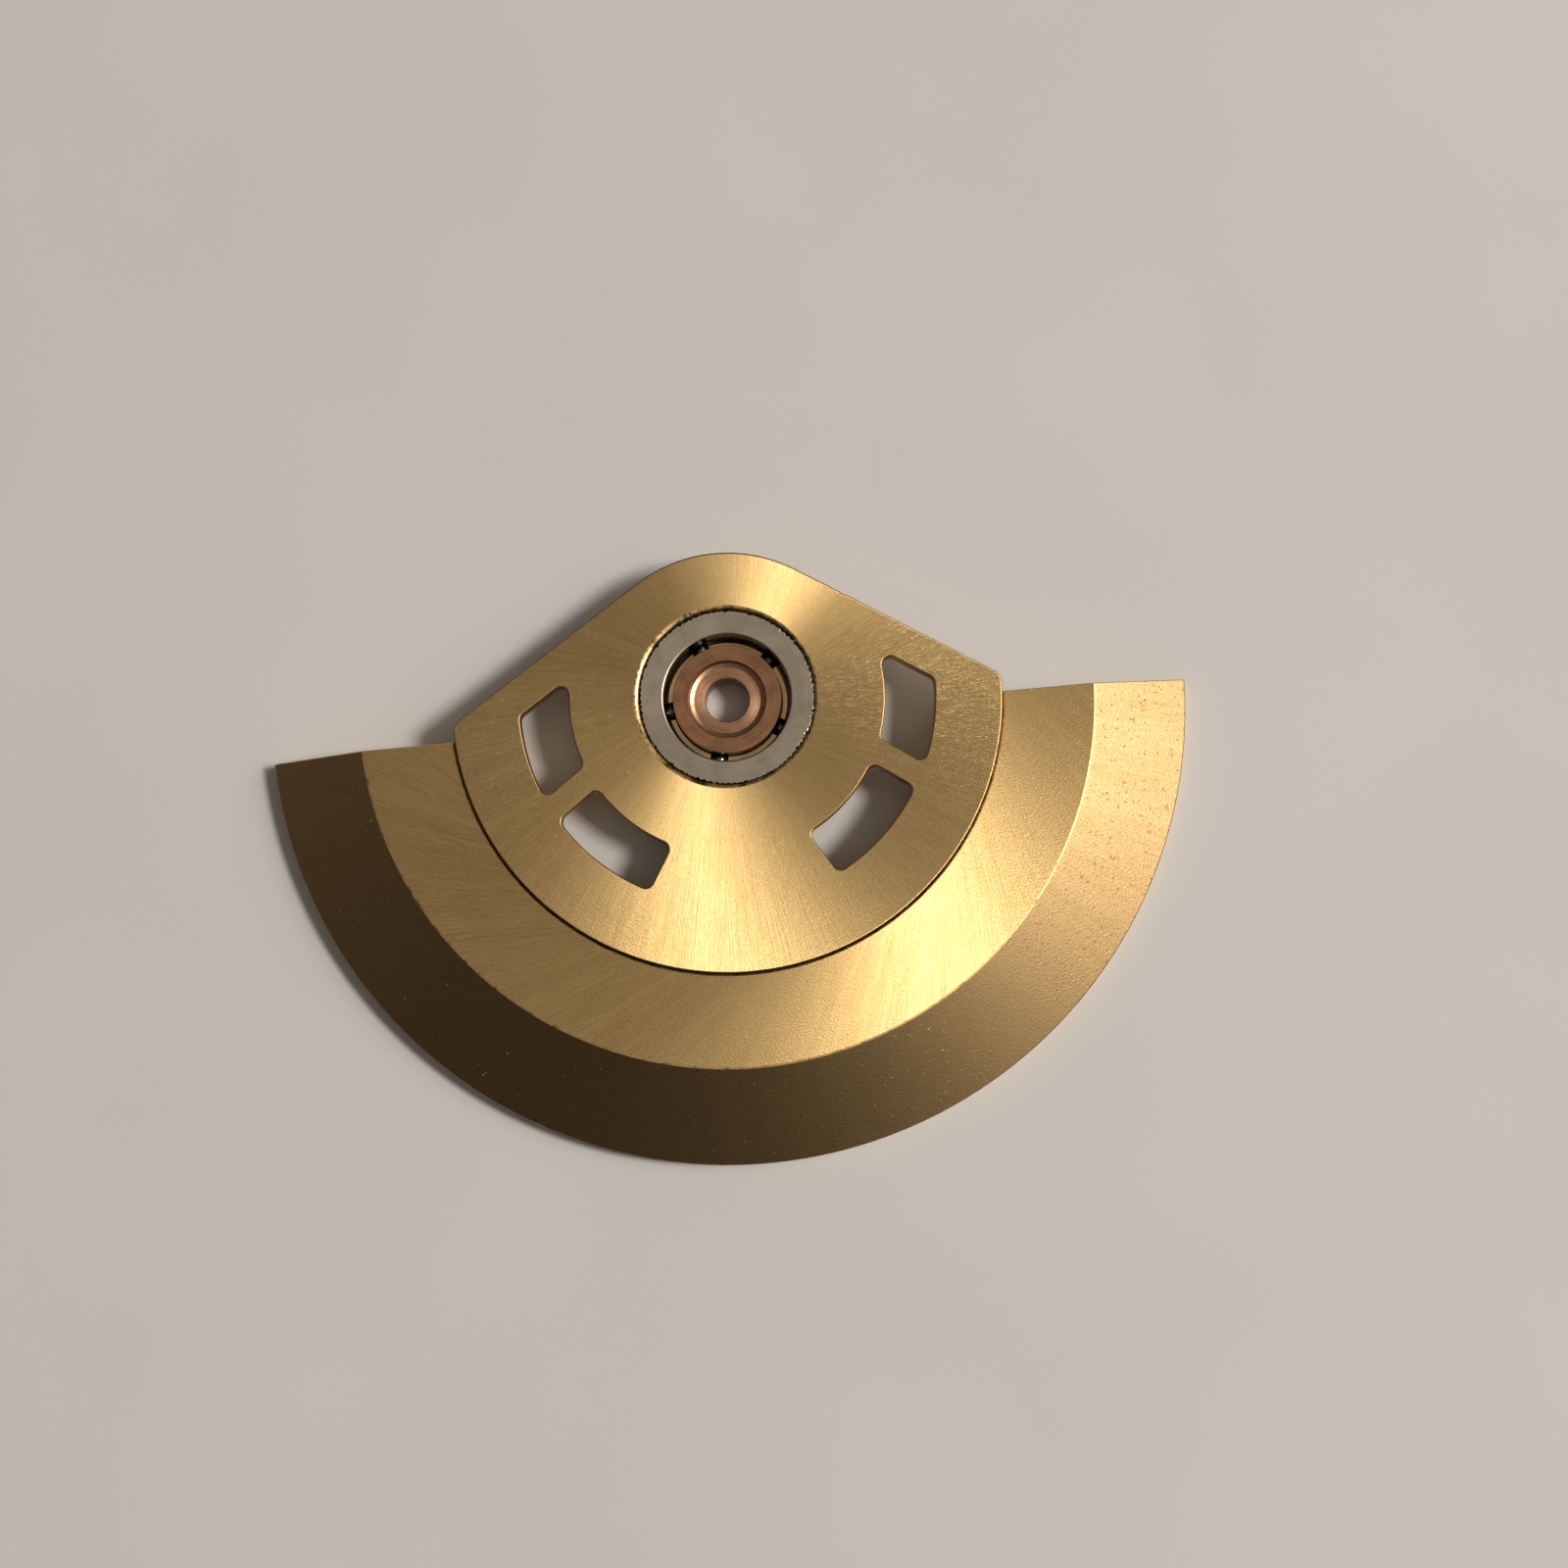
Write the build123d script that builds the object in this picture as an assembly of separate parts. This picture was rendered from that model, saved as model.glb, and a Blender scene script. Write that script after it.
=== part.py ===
from build123d import *

import math
import os

# An automatic watch rotor with a ball bearing at its middle, its finished face up.
# The origin is the centre of the hub's seat, +Z points away from the movement,
# and the weight lies towards -Y. All lengths are in millimetres and angles in degrees.

# Weight
# The bevel takes its share of the width outside the plate, and the land the rest.
weight_radius = 14.50
bevel_share = 0.51
rim_height = 0.75
bevel_drop = 1.20
weight_below_seat = 0.25
weight_end_offset = 0.60
weight_edge_break = 0.04
flange_thickness = 0.90
flange_seat_width = 1.64
flange_step_width = 0.49

# Plate
plate_thickness = 0.55
plate_proud = 0.20
round_radius = 4.58
flank_angle = 32.7
plate_corner_radius = 0.40
plate_edge_break = 0.04
bore_chamfer = 0.11
seam_gap = 0.02

# Windows, each between two arcs and two straight edges
# A straight edge is given by its slope and its distance from the axis.
window_inner_radius = 4.94
window_height = 1.54
window_corner_radius = 0.25
window_margin = 0.47
window_shoulder = 1.08
spoke_angle = 35.2
spoke_width = 0.80
spoke_offset = 0.85
bridge_angle = 58.4
bridge_offset = 0.53

# Ball track
pitch_radius = 1.85
ball_diameter = 0.60
ball_count = 5
first_ball_angle = 40.4
ball_clearance = 0.02
race_gap = 0.28

# Outer ring
ring_wall = 0.57
ring_recess = 0.05
ring_lip_height = 0.15
ring_lip_chamfer = 0.05
ring_edge_chamfer = 0.03
knurl_count = 90
knurl_depth = 0.05
knurl_height = 0.16
neck_wall = 0.29
neck_below_wheel = 0.18

# Hub
hub_bore_radius = 0.70
hub_post_radius = 1.05
hub_recess = 0.45
hub_lip_height = 0.45
counterbore_radius = 1.22
counterbore_floor_radius = 0.98
counterbore_depth = 0.25
hub_edge_break = 0.02

# Cage
cage_clearance = 0.04
cage_floor = 0.10
cage_recess = 0.61
cage_mouth = 0.57

# Drive wheel, pressed on the neck of the outer ring
wheel_module = 0.12
wheel_teeth = 64
wheel_thickness = 0.35

# Screws that hold the plate down on the weight's flange
screw_count = 4
screw_spread_angle = 136.0
screw_shank_radius = 0.28
screw_head_radius = 0.50
screw_head_height = 0.34
screw_slot_width = 0.13
screw_slot_depth = 0.15
screw_roof = 0.15
screw_edge_break = 0.04
screw_head_sink = 0.04
screw_clearance = 0.02

# Fits and tools
press_clearance = 0.005
cut_overrun = 1.00

# Radii worked out from the sizes above
window_outer_radius = window_inner_radius + window_height
flange_inner_radius = window_outer_radius + window_margin
plate_radius = flange_inner_radius + flange_seat_width
recess_radius = plate_radius + seam_gap
land_radius = weight_radius - bevel_share * (weight_radius - recess_radius)
flange_step_radius = recess_radius + flange_step_width
screw_circle_radius = (flange_inner_radius + recess_radius) / 2
ball_radius = ball_diameter / 2
groove_radius = ball_radius + ball_clearance
disc_radius = pitch_radius - race_gap / 2
lip_radius = pitch_radius + race_gap / 2
ring_radius = pitch_radius + groove_radius + ring_wall
neck_radius = pitch_radius + groove_radius + neck_wall

# Heights worked out from the sizes above
weight_bottom = -weight_below_seat
rim_top = weight_bottom + rim_height
land_top = rim_top + bevel_drop
plate_top = land_top + plate_proud
plate_bottom = plate_top - plate_thickness
flange_bottom = plate_bottom - flange_thickness
ring_top = plate_top - ring_recess
hub_top = ring_top - hub_recess
counterbore_floor = hub_top - counterbore_depth
ball_height = hub_top - hub_lip_height - groove_radius
ring_bottom = ball_height - groove_radius - ring_lip_height
neck_top = ring_bottom + neck_below_wheel + wheel_thickness


def polar(radius, angle):
    """A point at a radius and an angle from +X, in the XY plane."""
    turn = math.radians(angle)
    return (radius * math.cos(turn), radius * math.sin(turn))


def turned(points):
    """The solid that a closed outline of (radius, height) points makes about Z."""
    outline = Polyline(*[(radius, 0, height) for radius, height in points], close=True)
    return revolve(make_face(outline), axis=Axis.Z)


def ball_track():
    """The ring-shaped space that the balls run in, with their clearance."""
    return Pos(0, 0, ball_height) * Torus(pitch_radius, groove_radius)


def ball_angles():
    """The angle of each ball about Z."""
    return [first_ball_angle + step * 360 / ball_count for step in range(ball_count)]


def screw_angles():
    """The angle of each screw about Z, spread evenly about the weight's middle."""
    pitch = screw_spread_angle / (screw_count - 1)
    first = -90 - screw_spread_angle / 2
    return [first + step * pitch for step in range(screw_count)]


def edge_angle(slope, offset, radius):
    """Where a straight edge on the +X side meets a circle about Z.

    The edge falls away from the top at the slope and passes the axis at the offset.
    """
    return 90 - slope - math.degrees(math.acos(offset / radius))


def window(upper_edge, lower_edge):
    """One window's outline between two edges, each a slope and an offset."""
    upper_inner = edge_angle(*upper_edge, window_inner_radius)
    upper_outer = edge_angle(*upper_edge, window_outer_radius)
    lower_inner = edge_angle(*lower_edge, window_inner_radius)
    lower_outer = edge_angle(*lower_edge, window_outer_radius)
    inner_arc = ThreePointArc(
        polar(window_inner_radius, upper_inner),
        polar(window_inner_radius, (upper_inner + lower_inner) / 2),
        polar(window_inner_radius, lower_inner),
    )
    outer_arc = ThreePointArc(
        polar(window_outer_radius, lower_outer),
        polar(window_outer_radius, (upper_outer + lower_outer) / 2),
        polar(window_outer_radius, upper_outer),
    )
    lower_side = Line(inner_arc @ 1, outer_arc @ 0)
    upper_side = Line(outer_arc @ 1, inner_arc @ 0)
    face = make_face([inner_arc, lower_side, outer_arc, upper_side])
    # A low window takes no larger corners than this share of its height
    corner_share = 0.3
    corner_radius = min(window_corner_radius, corner_share * window_height)
    return fillet(face.vertices(), corner_radius)


def windows():
    """The four windows: an upper and a lower one, and their mirror images."""
    flank_edge = (flank_angle, round_radius - window_shoulder)
    above_spoke = (spoke_angle, spoke_offset + spoke_width / 2)
    below_spoke = (spoke_angle, spoke_offset - spoke_width / 2)
    bridge_edge = (bridge_angle, -bridge_offset)
    right_side = [window(flank_edge, above_spoke), window(below_spoke, bridge_edge)]
    left_side = [mirror(face, about=Plane.YZ) for face in right_side]
    return right_side + left_side


def fan():
    """The plate's outline: a round top, two tangent flanks and an arc."""
    round_top = ThreePointArc(
        polar(round_radius, 90 + flank_angle),
        polar(round_radius, 90),
        polar(round_radius, 90 - flank_angle),
    )
    corner = edge_angle(flank_angle, round_radius, plate_radius)
    bottom_arc = ThreePointArc(
        polar(plate_radius, corner),
        polar(plate_radius, -90),
        polar(plate_radius, 180 - corner),
    )
    right_flank = Line(round_top @ 1, bottom_arc @ 0)
    left_flank = Line(bottom_arc @ 1, round_top @ 0)
    face = make_face([round_top, right_flank, bottom_arc, left_flank])
    corners = face.vertices().filter_by(lambda point: abs(point.Y) < round_radius / 2)
    return fillet(corners, plate_corner_radius)


def screw_holes(radius, bottom, top):
    """Round tools for the screws, from one height to another."""
    hole = Pos(0, 0, bottom) * Cylinder(
        radius, top - bottom, align=(Align.CENTER, Align.CENTER, Align.MIN)
    )
    places = [polar(screw_circle_radius, angle) for angle in screw_angles()]
    return [Pos(x, y, 0) * hole for x, y in places]


def rotor_plate():
    """The fan-shaped plate with its bore, windows and blind screw holes."""
    outline = fan() - windows()
    plate = Pos(0, 0, plate_bottom) * extrude(outline, plate_thickness)
    top_face = plate.faces().sort_by(Axis.Z)[-1]
    plate = chamfer(top_face.edges(), plate_edge_break)
    bore_radius = ring_radius + press_clearance
    plate -= turned(
        [
            (0, plate_bottom - cut_overrun),
            (bore_radius, plate_bottom - cut_overrun),
            (bore_radius, plate_top - bore_chamfer),
            (bore_radius + bore_chamfer, plate_top),
            (bore_radius + bore_chamfer, plate_top + cut_overrun),
            (0, plate_top + cut_overrun),
        ]
    )
    hole_top = plate_top - screw_roof
    hole_radius = screw_shank_radius + press_clearance
    plate -= screw_holes(hole_radius, plate_bottom - cut_overrun, hole_top)
    return plate


def weight_segment():
    """The half-ring weight with its land, bevelled rim and flange."""
    slope = bevel_drop / (weight_radius - land_radius)
    ring = turned(
        [
            (flange_inner_radius, flange_bottom),
            (flange_step_radius, flange_bottom),
            (flange_step_radius, weight_bottom),
            (weight_radius - weight_edge_break, weight_bottom),
            (weight_radius, weight_bottom + weight_edge_break),
            (weight_radius, rim_top - weight_edge_break),
            (weight_radius - weight_edge_break, rim_top + weight_edge_break * slope),
            (land_radius + weight_edge_break, land_top - weight_edge_break * slope),
            (land_radius - weight_edge_break, land_top),
            (recess_radius + weight_edge_break, land_top),
            (recess_radius, land_top - weight_edge_break),
            (recess_radius, plate_bottom),
            (flange_inner_radius, plate_bottom),
        ]
    )
    side = 2 * (weight_radius + cut_overrun)
    lower_half = Pos(0, -weight_end_offset, 0) * Box(
        side, side, side, align=(Align.CENTER, Align.MAX, Align.CENTER)
    )
    weight = ring & lower_half
    seat = flange_bottom + screw_head_sink + screw_head_height
    head_hole_radius = screw_head_radius + screw_clearance
    weight -= screw_holes(head_hole_radius, flange_bottom - cut_overrun, seat)
    shank_hole_radius = screw_shank_radius + screw_clearance
    weight -= screw_holes(shank_hole_radius, flange_bottom, plate_bottom + cut_overrun)
    return weight


def segment_screws():
    """Slotted screws, put in from below, with their heads under the flange."""
    head_bottom = flange_bottom + screw_head_sink
    shank_bottom = head_bottom + screw_head_height
    shank_top = plate_top - screw_roof - screw_clearance
    shank_length = shank_top - shank_bottom
    upright = (Align.CENTER, Align.CENTER, Align.MIN)
    head = Cylinder(screw_head_radius, screw_head_height, align=upright)
    head = chamfer(head.edges().sort_by(Axis.Z)[0], screw_edge_break)
    slot = Box(
        2 * (screw_head_radius + cut_overrun), screw_slot_width, screw_slot_depth,
        align=upright,
    )
    shank = Cylinder(screw_shank_radius, shank_length, align=upright)
    shank = chamfer(shank.edges().sort_by(Axis.Z)[-1], screw_edge_break)
    screw = Pos(0, 0, head_bottom) * (head - slot) + Pos(0, 0, shank_bottom) * shank
    copies = []
    for angle in screw_angles():
        x, y = polar(screw_circle_radius, angle)
        copies.append(Pos(x, y, 0) * Rot(0, 0, angle) * screw)
    return Compound(children=copies)


def bearing_outer_ring():
    """The steel ring: a knurled edge, a ball groove and a neck for the wheel."""
    ring = turned(
        [
            (lip_radius + ring_lip_chamfer, ring_bottom),
            (neck_radius - ring_edge_chamfer, ring_bottom),
            (neck_radius, ring_bottom + ring_edge_chamfer),
            (neck_radius, neck_top),
            (ring_radius, neck_top),
            (ring_radius, ring_top - ring_edge_chamfer),
            (ring_radius - ring_edge_chamfer, ring_top),
            (lip_radius + ring_lip_chamfer, ring_top),
            (lip_radius, ring_top - ring_lip_chamfer),
            (lip_radius, ring_bottom + ring_lip_chamfer),
        ]
    )
    side = knurl_depth * math.sqrt(2)
    notch = Pos(ring_radius, 0, ring_top) * Rot(0, 0, 45) * Box(
        side, side, 2 * knurl_height
    )
    notches = [Rot(0, 0, step * 360 / knurl_count) * notch for step in range(knurl_count)]
    return ring - notches - ball_track()


def bearing_hub():
    """The upper half of the inner race, with the post that the screw clamps."""
    hub = turned(
        [
            (hub_bore_radius, 0),
            (hub_post_radius - hub_edge_break, 0),
            (hub_post_radius, hub_edge_break),
            (hub_post_radius, ball_height),
            (disc_radius, ball_height),
            (disc_radius, hub_top - hub_edge_break),
            (disc_radius - hub_edge_break, hub_top),
            (counterbore_radius, hub_top),
            (counterbore_floor_radius, counterbore_floor),
            (hub_bore_radius, counterbore_floor),
        ]
    )
    return hub - ball_track()


def bearing_lower_race():
    """The lower half of the inner race, pressed on the hub's post."""
    bore_radius = hub_post_radius + press_clearance
    race = turned(
        [
            (bore_radius, ring_bottom),
            (disc_radius - hub_edge_break, ring_bottom),
            (disc_radius, ring_bottom + hub_edge_break),
            (disc_radius, ball_height),
            (bore_radius, ball_height),
        ]
    )
    return race - ball_track()


def ball_cage():
    """The crown-shaped cage, whose pockets snap over the balls from below."""
    inner_radius = disc_radius + cage_clearance
    outer_radius = lip_radius - cage_clearance
    cage_top = hub_top - cage_recess
    cage_bottom = ball_height - groove_radius - cage_floor
    cage = turned(
        [
            (inner_radius, cage_bottom),
            (outer_radius, cage_bottom),
            (outer_radius, cage_top),
            (inner_radius, cage_top),
        ]
    )
    reach = outer_radius + cut_overrun
    pocket = Rot(0, 90, 0) * Cylinder(
        groove_radius, reach, align=(Align.CENTER, Align.CENTER, Align.MIN)
    )
    mouth = Box(
        reach, cage_mouth, cut_overrun, align=(Align.MIN, Align.CENTER, Align.MIN)
    )
    for angle in ball_angles():
        cage -= Pos(0, 0, ball_height) * Rot(0, 0, angle) * (pocket + mouth)
    return cage


def ball(angle):
    """One ball in its place in the track."""
    x, y = polar(pitch_radius, angle)
    return Pos(x, y, ball_height) * Sphere(ball_radius)


def drive_wheel():
    """The toothed wheel that passes the rotor's turning on."""
    # Shares of the module for the tooth's height above and below the pitch circle
    addendum_share = 1.0
    dedendum_share = 1.25
    # Shares of the tooth's pitch angle for its root, its shoulder and its straight flank
    root_share = 0.32
    shoulder_share = 0.20
    pitch_circle = wheel_module * wheel_teeth / 2
    tip_radius = pitch_circle + addendum_share * wheel_module
    root_radius = pitch_circle - dedendum_share * wheel_module
    pitch = 360 / wheel_teeth
    edges = []
    for step in range(wheel_teeth):
        middle = step * pitch
        root_in = polar(root_radius, middle - root_share * pitch)
        shoulder_in = polar(pitch_circle, middle - shoulder_share * pitch)
        tip = polar(tip_radius, middle)
        shoulder_out = polar(pitch_circle, middle + shoulder_share * pitch)
        root_out = polar(root_radius, middle + root_share * pitch)
        next_root = polar(root_radius, middle + (1 - root_share) * pitch)
        edges.append(Line(root_in, shoulder_in))
        edges.append(ThreePointArc(shoulder_in, tip, shoulder_out))
        edges.append(Line(shoulder_out, root_out))
        edges.append(Line(root_out, next_root))
    blank = Pos(0, 0, neck_top - wheel_thickness) * extrude(make_face(edges), wheel_thickness)
    bore = Pos(0, 0, neck_top) * Cylinder(neck_radius + press_clearance, 2 * cut_overrun)
    return blank - bore


os.makedirs("parts", exist_ok=True)
export_step(rotor_plate(), "parts/rotor_plate.step")
export_step(weight_segment(), "parts/weight_segment.step")
export_step(segment_screws(), "parts/segment_screws.step")
export_step(bearing_outer_ring(), "parts/bearing_outer_ring.step")
export_step(drive_wheel(), "parts/drive_wheel.step")
export_step(bearing_hub(), "parts/bearing_hub.step")
export_step(bearing_lower_race(), "parts/bearing_lower_race.step")
export_step(ball_cage(), "parts/ball_cage.step")
for number, angle in enumerate(ball_angles(), start=1):
    export_step(ball(angle), f"parts/ball_{number}.step")
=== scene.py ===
import math

import bmesh
import bpy
from mathutils import Matrix, Vector


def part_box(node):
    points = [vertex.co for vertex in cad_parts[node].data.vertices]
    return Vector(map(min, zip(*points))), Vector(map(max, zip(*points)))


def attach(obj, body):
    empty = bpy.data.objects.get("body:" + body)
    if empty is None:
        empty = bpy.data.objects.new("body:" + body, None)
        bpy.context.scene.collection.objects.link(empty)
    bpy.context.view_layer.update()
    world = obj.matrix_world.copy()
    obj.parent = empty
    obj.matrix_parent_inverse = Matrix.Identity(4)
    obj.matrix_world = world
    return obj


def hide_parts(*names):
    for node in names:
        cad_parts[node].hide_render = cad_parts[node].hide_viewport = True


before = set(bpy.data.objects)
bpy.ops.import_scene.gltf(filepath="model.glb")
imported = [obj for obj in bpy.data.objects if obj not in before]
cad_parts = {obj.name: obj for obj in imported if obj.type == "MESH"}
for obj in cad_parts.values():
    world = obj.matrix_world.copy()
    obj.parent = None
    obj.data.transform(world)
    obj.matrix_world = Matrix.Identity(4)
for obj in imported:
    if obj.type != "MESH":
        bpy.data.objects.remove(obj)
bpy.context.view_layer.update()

bl_info = {
    "name": "Automatic Watch Rotor",
    "version": (1, 0, 0),
    "blender": (4, 5, 0),
    "location": "View3D > Sidebar > Rotor",
    "description": "Builds a gilt watch rotor on its ball bearing, and the paper it lies on",
    "category": "Add Mesh",
}

MM = 0.001
HAIR = 0.001 * MM  # how near a point has to lie to count as on a face or a line
WHOLE_TURN = 2 * math.pi
AXIS = (0, 0)
BALL_COUNT = 5
SCREW_COUNT = 4
SCREW_RECESS = 0.04 * MM  # how deep a screw's head lies in the flange
SCREW_ROOF = 0.17 * MM  # the metal left above a screw
HOLE_ROOF = 0.15 * MM  # the metal left above its hole
SLOT_TURN = 0.7  # how much further each screw is turned than the last
PRESS_GAP = 0.005 * MM  # between pieces that are pressed or screwed together
ROUND_STEPS = 4  # faces across a rounded edge
RAGGED = 0.03 * MM  # how far the filed flank strays
SCREW_BREAK = 0.03 * MM  # the broken edges of a screw, of the hub and of the cage
HUB_BREAK = 0.012 * MM
CAGE_BREAK = 0.02 * MM
DISH_FOOT = (0.04 * MM, 0.05 * MM)  # how far in and up the counterbore's side ends
RING_EDGE = 0.03 * MM  # the rounding of the steel ring's upper edge
KNURL_LENGTH = 0.16 * MM  # how far the notches run down its side
NOTCH = (0.0, 0.45, 1.0, 0.55, 0.1)  # the depth across one notch
RING_STEPS = 90 * len(NOTCH)
MARKS_ROUND = 10.0  # how fast the brush marks change round the axis
MARKS_ALONG = 0.03  # and along their length
# Painted shade: the dark steel deep in the bearing, mottled between these two colours
BEARING_SHADE_DARK, BEARING_SHADE_PALE = (0.10, 0.085, 0.07), (0.20, 0.17, 0.14)
# The sky's light at heights from the horizon, 0, to overhead, 1, and where it is shaded
ROOM = ((0.0, 0.24), (0.30, 0.16), (0.50, 0.07), (0.82, 0.07), (0.94, 0.39), (1.0, 0.43))
SHADE = ((0.0, 0.08), (0.30, 0.03), (0.50, 0.01), (0.82, 0.01), (0.94, 0.36), (1.0, 0.43))
SKY_TINT, DARK_TINT = (1.0, 0.93, 0.83), (1.0, 0.86, 0.79)
DARK_SKY = 0.08  # where the second tint takes over
GLOW_FALLOFF = 30  # how closely the lamp's glow keeps to its middle
PAPER_SIDE = 1.6  # metres
SENSOR = 36  # the width of the camera's film in millimetres

PLATE_LOW, PLATE_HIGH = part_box("rotor_plate")
WEIGHT_LOW, WEIGHT_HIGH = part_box("weight_segment")
RING_LOW, RING_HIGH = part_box("bearing_outer_ring")
HUB_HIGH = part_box("bearing_hub")[1]
CAGE_LOW, CAGE_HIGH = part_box("ball_cage")
WHEEL_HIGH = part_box("drive_wheel")[1]
BALL_LOW, BALL_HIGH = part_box("ball_1")
BALL_RADIUS = (BALL_HIGH.z - BALL_LOW.z) / 2
BALL_CENTRES = [sum(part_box(f"ball_{n}"), Vector()) / 2 for n in range(1, BALL_COUNT + 1)]
BALL_HEIGHT = BALL_CENTRES[0].z


# Properties that a user may change


def length(name, description, default):
    """A length in metres, shown in the scene's unit."""
    return bpy.props.FloatProperty(
        name=name, description=description, default=default, min=0, precision=6,
        unit="LENGTH", subtype="DISTANCE")


def angle(name, description, degrees):
    """An angle, given in degrees."""
    return bpy.props.FloatProperty(
        name=name, description=description, default=math.radians(degrees), subtype="ANGLE")


def amount(name, description, default, highest=1.0):
    """A plain number from 0 up."""
    return bpy.props.FloatProperty(
        name=name, description=description, default=default, min=0, max=highest, precision=4)


def colour(name, description, red, green, blue):
    """A colour in linear values."""
    return bpy.props.FloatVectorProperty(
        name=name, description=description, default=(red, green, blue), size=3,
        min=0, max=1, subtype="COLOR")


class RotorPlateSizes(bpy.types.PropertyGroup):
    """The fan-shaped plate and its windows."""

    top: length("Top", "Height of the plate's upper face", PLATE_HIGH.z)
    bottom: length("Bottom", "Height of the plate's lower face", PLATE_LOW.z)
    arc_radius: length("Arc radius", "Radius of the plate's lower arc", -PLATE_LOW.y)
    round_radius: length("Round radius", "Radius of the round top", PLATE_HIGH.y)
    flank: angle("Flank angle", "How steeply the straight flanks fall", 32.7)
    corner_radius: length("Corner radius", "Rounding where flank and arc meet", 0.40 * MM)
    edge_break: length("Edge break", "Width of the broken upper edges", 0.05 * MM)
    bore_radius: length("Bore radius", "Radius of the bearing's bore", RING_HIGH.x + PRESS_GAP)
    bore_chamfer: length("Bore chamfer", "Width of the rounding on the bore", 0.14 * MM)
    bore_drop: length("Bore drop", "Depth of the rounding on the bore", 0.08 * MM)
    bore_worn: length("Bore wear", "How much wider the rounding is on the left", 0.035 * MM)
    window_inner: length("Window inner radius", "Inner arc of the windows", 4.94 * MM)
    window_outer: length("Window outer radius", "Outer arc of the windows", 6.48 * MM)
    window_corner: length("Window corner", "Rounding of the windows' corners", 0.25 * MM)
    shoulder: length("Shoulder", "Metal left between flank and window", 1.08 * MM)
    spoke: angle("Spoke angle", "Slope of the bar between two windows", 35.2)
    spoke_width: length("Spoke width", "Width of the bar between two windows", 0.80 * MM)
    spoke_offset: length("Spoke offset", "Distance from the axis to the bar's middle", 0.85 * MM)
    bridge: angle("Bridge angle", "Slope of the lowest window edge", 58.4)
    bridge_offset: length("Bridge offset", "Distance from the axis to that edge", 0.53 * MM)


class RotorWeightSizes(bpy.types.PropertyGroup):
    """The half-ring weight and the screws under it."""

    bottom: length("Bottom drop", "How far the weight hangs below the hub's seat", -WEIGHT_LOW.z)
    land_top: length("Land height", "Height of the flat land", WEIGHT_HIGH.z)
    end_offset: length("End offset", "Distance from the axis to the weight's ends", -WEIGHT_HIGH.y)
    half_span: length("Half span", "Half the distance between the weight's tips", WEIGHT_HIGH.x)
    rim_height: length("Rim height", "Height of the upright rim", 0.75 * MM)
    seam: length("Seam", "Gap between plate and weight", 0.02 * MM)
    bevel_share: amount("Bevel share", "Share of the width that the bevel takes", 0.51)
    flange_bottom: length("Flange height", "Height of the flange's lower face", 0.45 * MM)
    flange_inner: length("Flange inner radius", "Inner radius of the flange", 6.95 * MM)
    flange_step: length("Flange step radius", "Radius of the step below the flange", 9.10 * MM)
    edge_break: length("Edge break", "Width of the broken edges", 0.03 * MM)
    seam_break: length("Seam break", "Width of the broken edge at the seam", 0.035 * MM)
    screw_circle: length("Screw circle", "Radius on which the screws stand", 7.78 * MM)
    screw_spread: angle("Screw spread", "Angle between the outermost screws", 136)
    screw_head: length("Screw head radius", "Radius of a screw's head", 0.50 * MM)
    screw_head_height: length("Screw head height", "Height of a screw's head", 0.34 * MM)
    screw_shank: length("Screw shank radius", "Radius of a screw's shank", 0.28 * MM)
    screw_slot: length("Slot width", "Width of the driver's slot", 0.13 * MM)
    screw_slot_depth: length("Slot depth", "Depth of the driver's slot", 0.15 * MM)
    screw_play: length("Screw play", "Gap round a screw", 0.02 * MM)


class RotorBearingSizes(bpy.types.PropertyGroup):
    """The ball bearing at the rotor's middle."""

    ring_radius: length("Ring radius", "Outer radius of the steel ring", RING_HIGH.x)
    ring_top: length("Ring top", "Height of the ring's upper face", RING_HIGH.z)
    ring_bottom: length("Ring bottom", "Height of the ring's lower face", RING_LOW.z)
    neck_radius: length("Neck radius", "Radius of the neck that carries the wheel", 2.46 * MM)
    neck_top: length("Neck top", "Height where the neck meets the ring", WHEEL_HIGH.z)
    lip_radius: length("Lip radius", "Inner radius of the ring's lips", 1.99 * MM)
    lip_chamfer: length("Lip chamfer", "Chamfer on the ring's inner edges", 0.05 * MM)
    ring_dish: length("Ring dish", "How far the ring's face falls to its lip", 0.014 * MM)
    knurl_depth: length("Knurl depth", "Depth of the knurled notches", 0.07 * MM)
    pitch_radius: length("Pitch radius", "Radius on which the balls run", 1.85 * MM)
    groove_radius: length("Groove radius", "Radius of the ball groove's section", 0.32 * MM)
    disc_radius: length("Disc radius", "Outer radius of the hub's disc", HUB_HIGH.x)
    disc_top: length("Disc top", "Height of the hub's disc", HUB_HIGH.z)
    post_radius: length("Post radius", "Radius of the hub's post", 1.05 * MM)
    hole_radius: length("Hole radius", "Radius of the screw hole", 0.70 * MM)
    dish_radius: length("Dish radius", "Upper radius of the conical counterbore", 1.22 * MM)
    dish_floor: length("Dish floor radius", "Radius of the counterbore's floor", 1.05 * MM)
    dish_depth: length("Dish depth", "Depth of the counterbore", 0.25 * MM)
    cage_mouth: length("Cage mouth", "Width of the cage's open pockets", 0.57 * MM)
    cage_play: length("Cage play", "Gap between the cage and the ring", 0.04 * MM)
    cage_gap: length("Cage gap", "Gap between the cage and the disc", 0.015 * MM)
    cage_edge: length("Cage edge", "How far the cage's rim is turned down", 0.05 * MM)


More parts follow.
